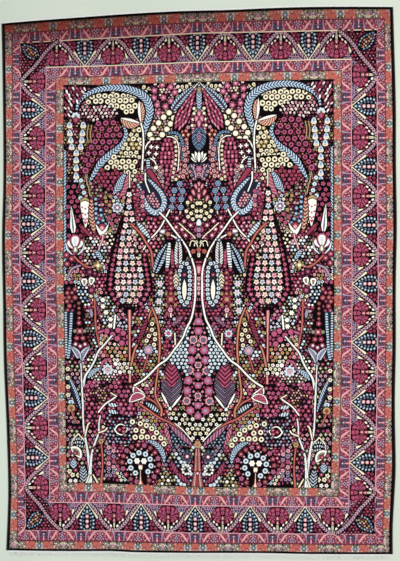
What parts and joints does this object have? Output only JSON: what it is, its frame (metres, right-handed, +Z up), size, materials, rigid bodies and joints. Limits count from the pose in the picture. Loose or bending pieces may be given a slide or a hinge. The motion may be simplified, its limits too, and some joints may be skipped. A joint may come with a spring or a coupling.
{
  "type": "kerman rug",
  "caption": "Hand-knotted Persian wool carpet with a dense garden field of cypresses and paisleys, triple border, dark side cords and cotton kilim ends with a short fringe.",
  "frame": {"origin": "centre of the whole carpet's bounding box, on the floor it lies on", "axes": "+X across the carpet, +Y along it towards the end with the plain kilim strip, +Z up, pile up"},
  "size_m": [2.4422, 3.4322, 0.009],
  "materials": {
    "wool_pile": "clipped wool pile, crimson, rose, light blue, ivory and gold on near-black navy",
    "overcast_wool": "dark wool wrapped over the edge warps",
    "warp_cotton": "undyed white cotton, plain woven and twisted"
  },
  "bodies": {
    "root": {"knotted_carpet": "wool_pile", "selvedge_left": "overcast_wool", "selvedge_right": "overcast_wool", "kilim_top": "warp_cotton", "kilim_fringe_bottom": "warp_cotton"}
  },
  "joints": []
}
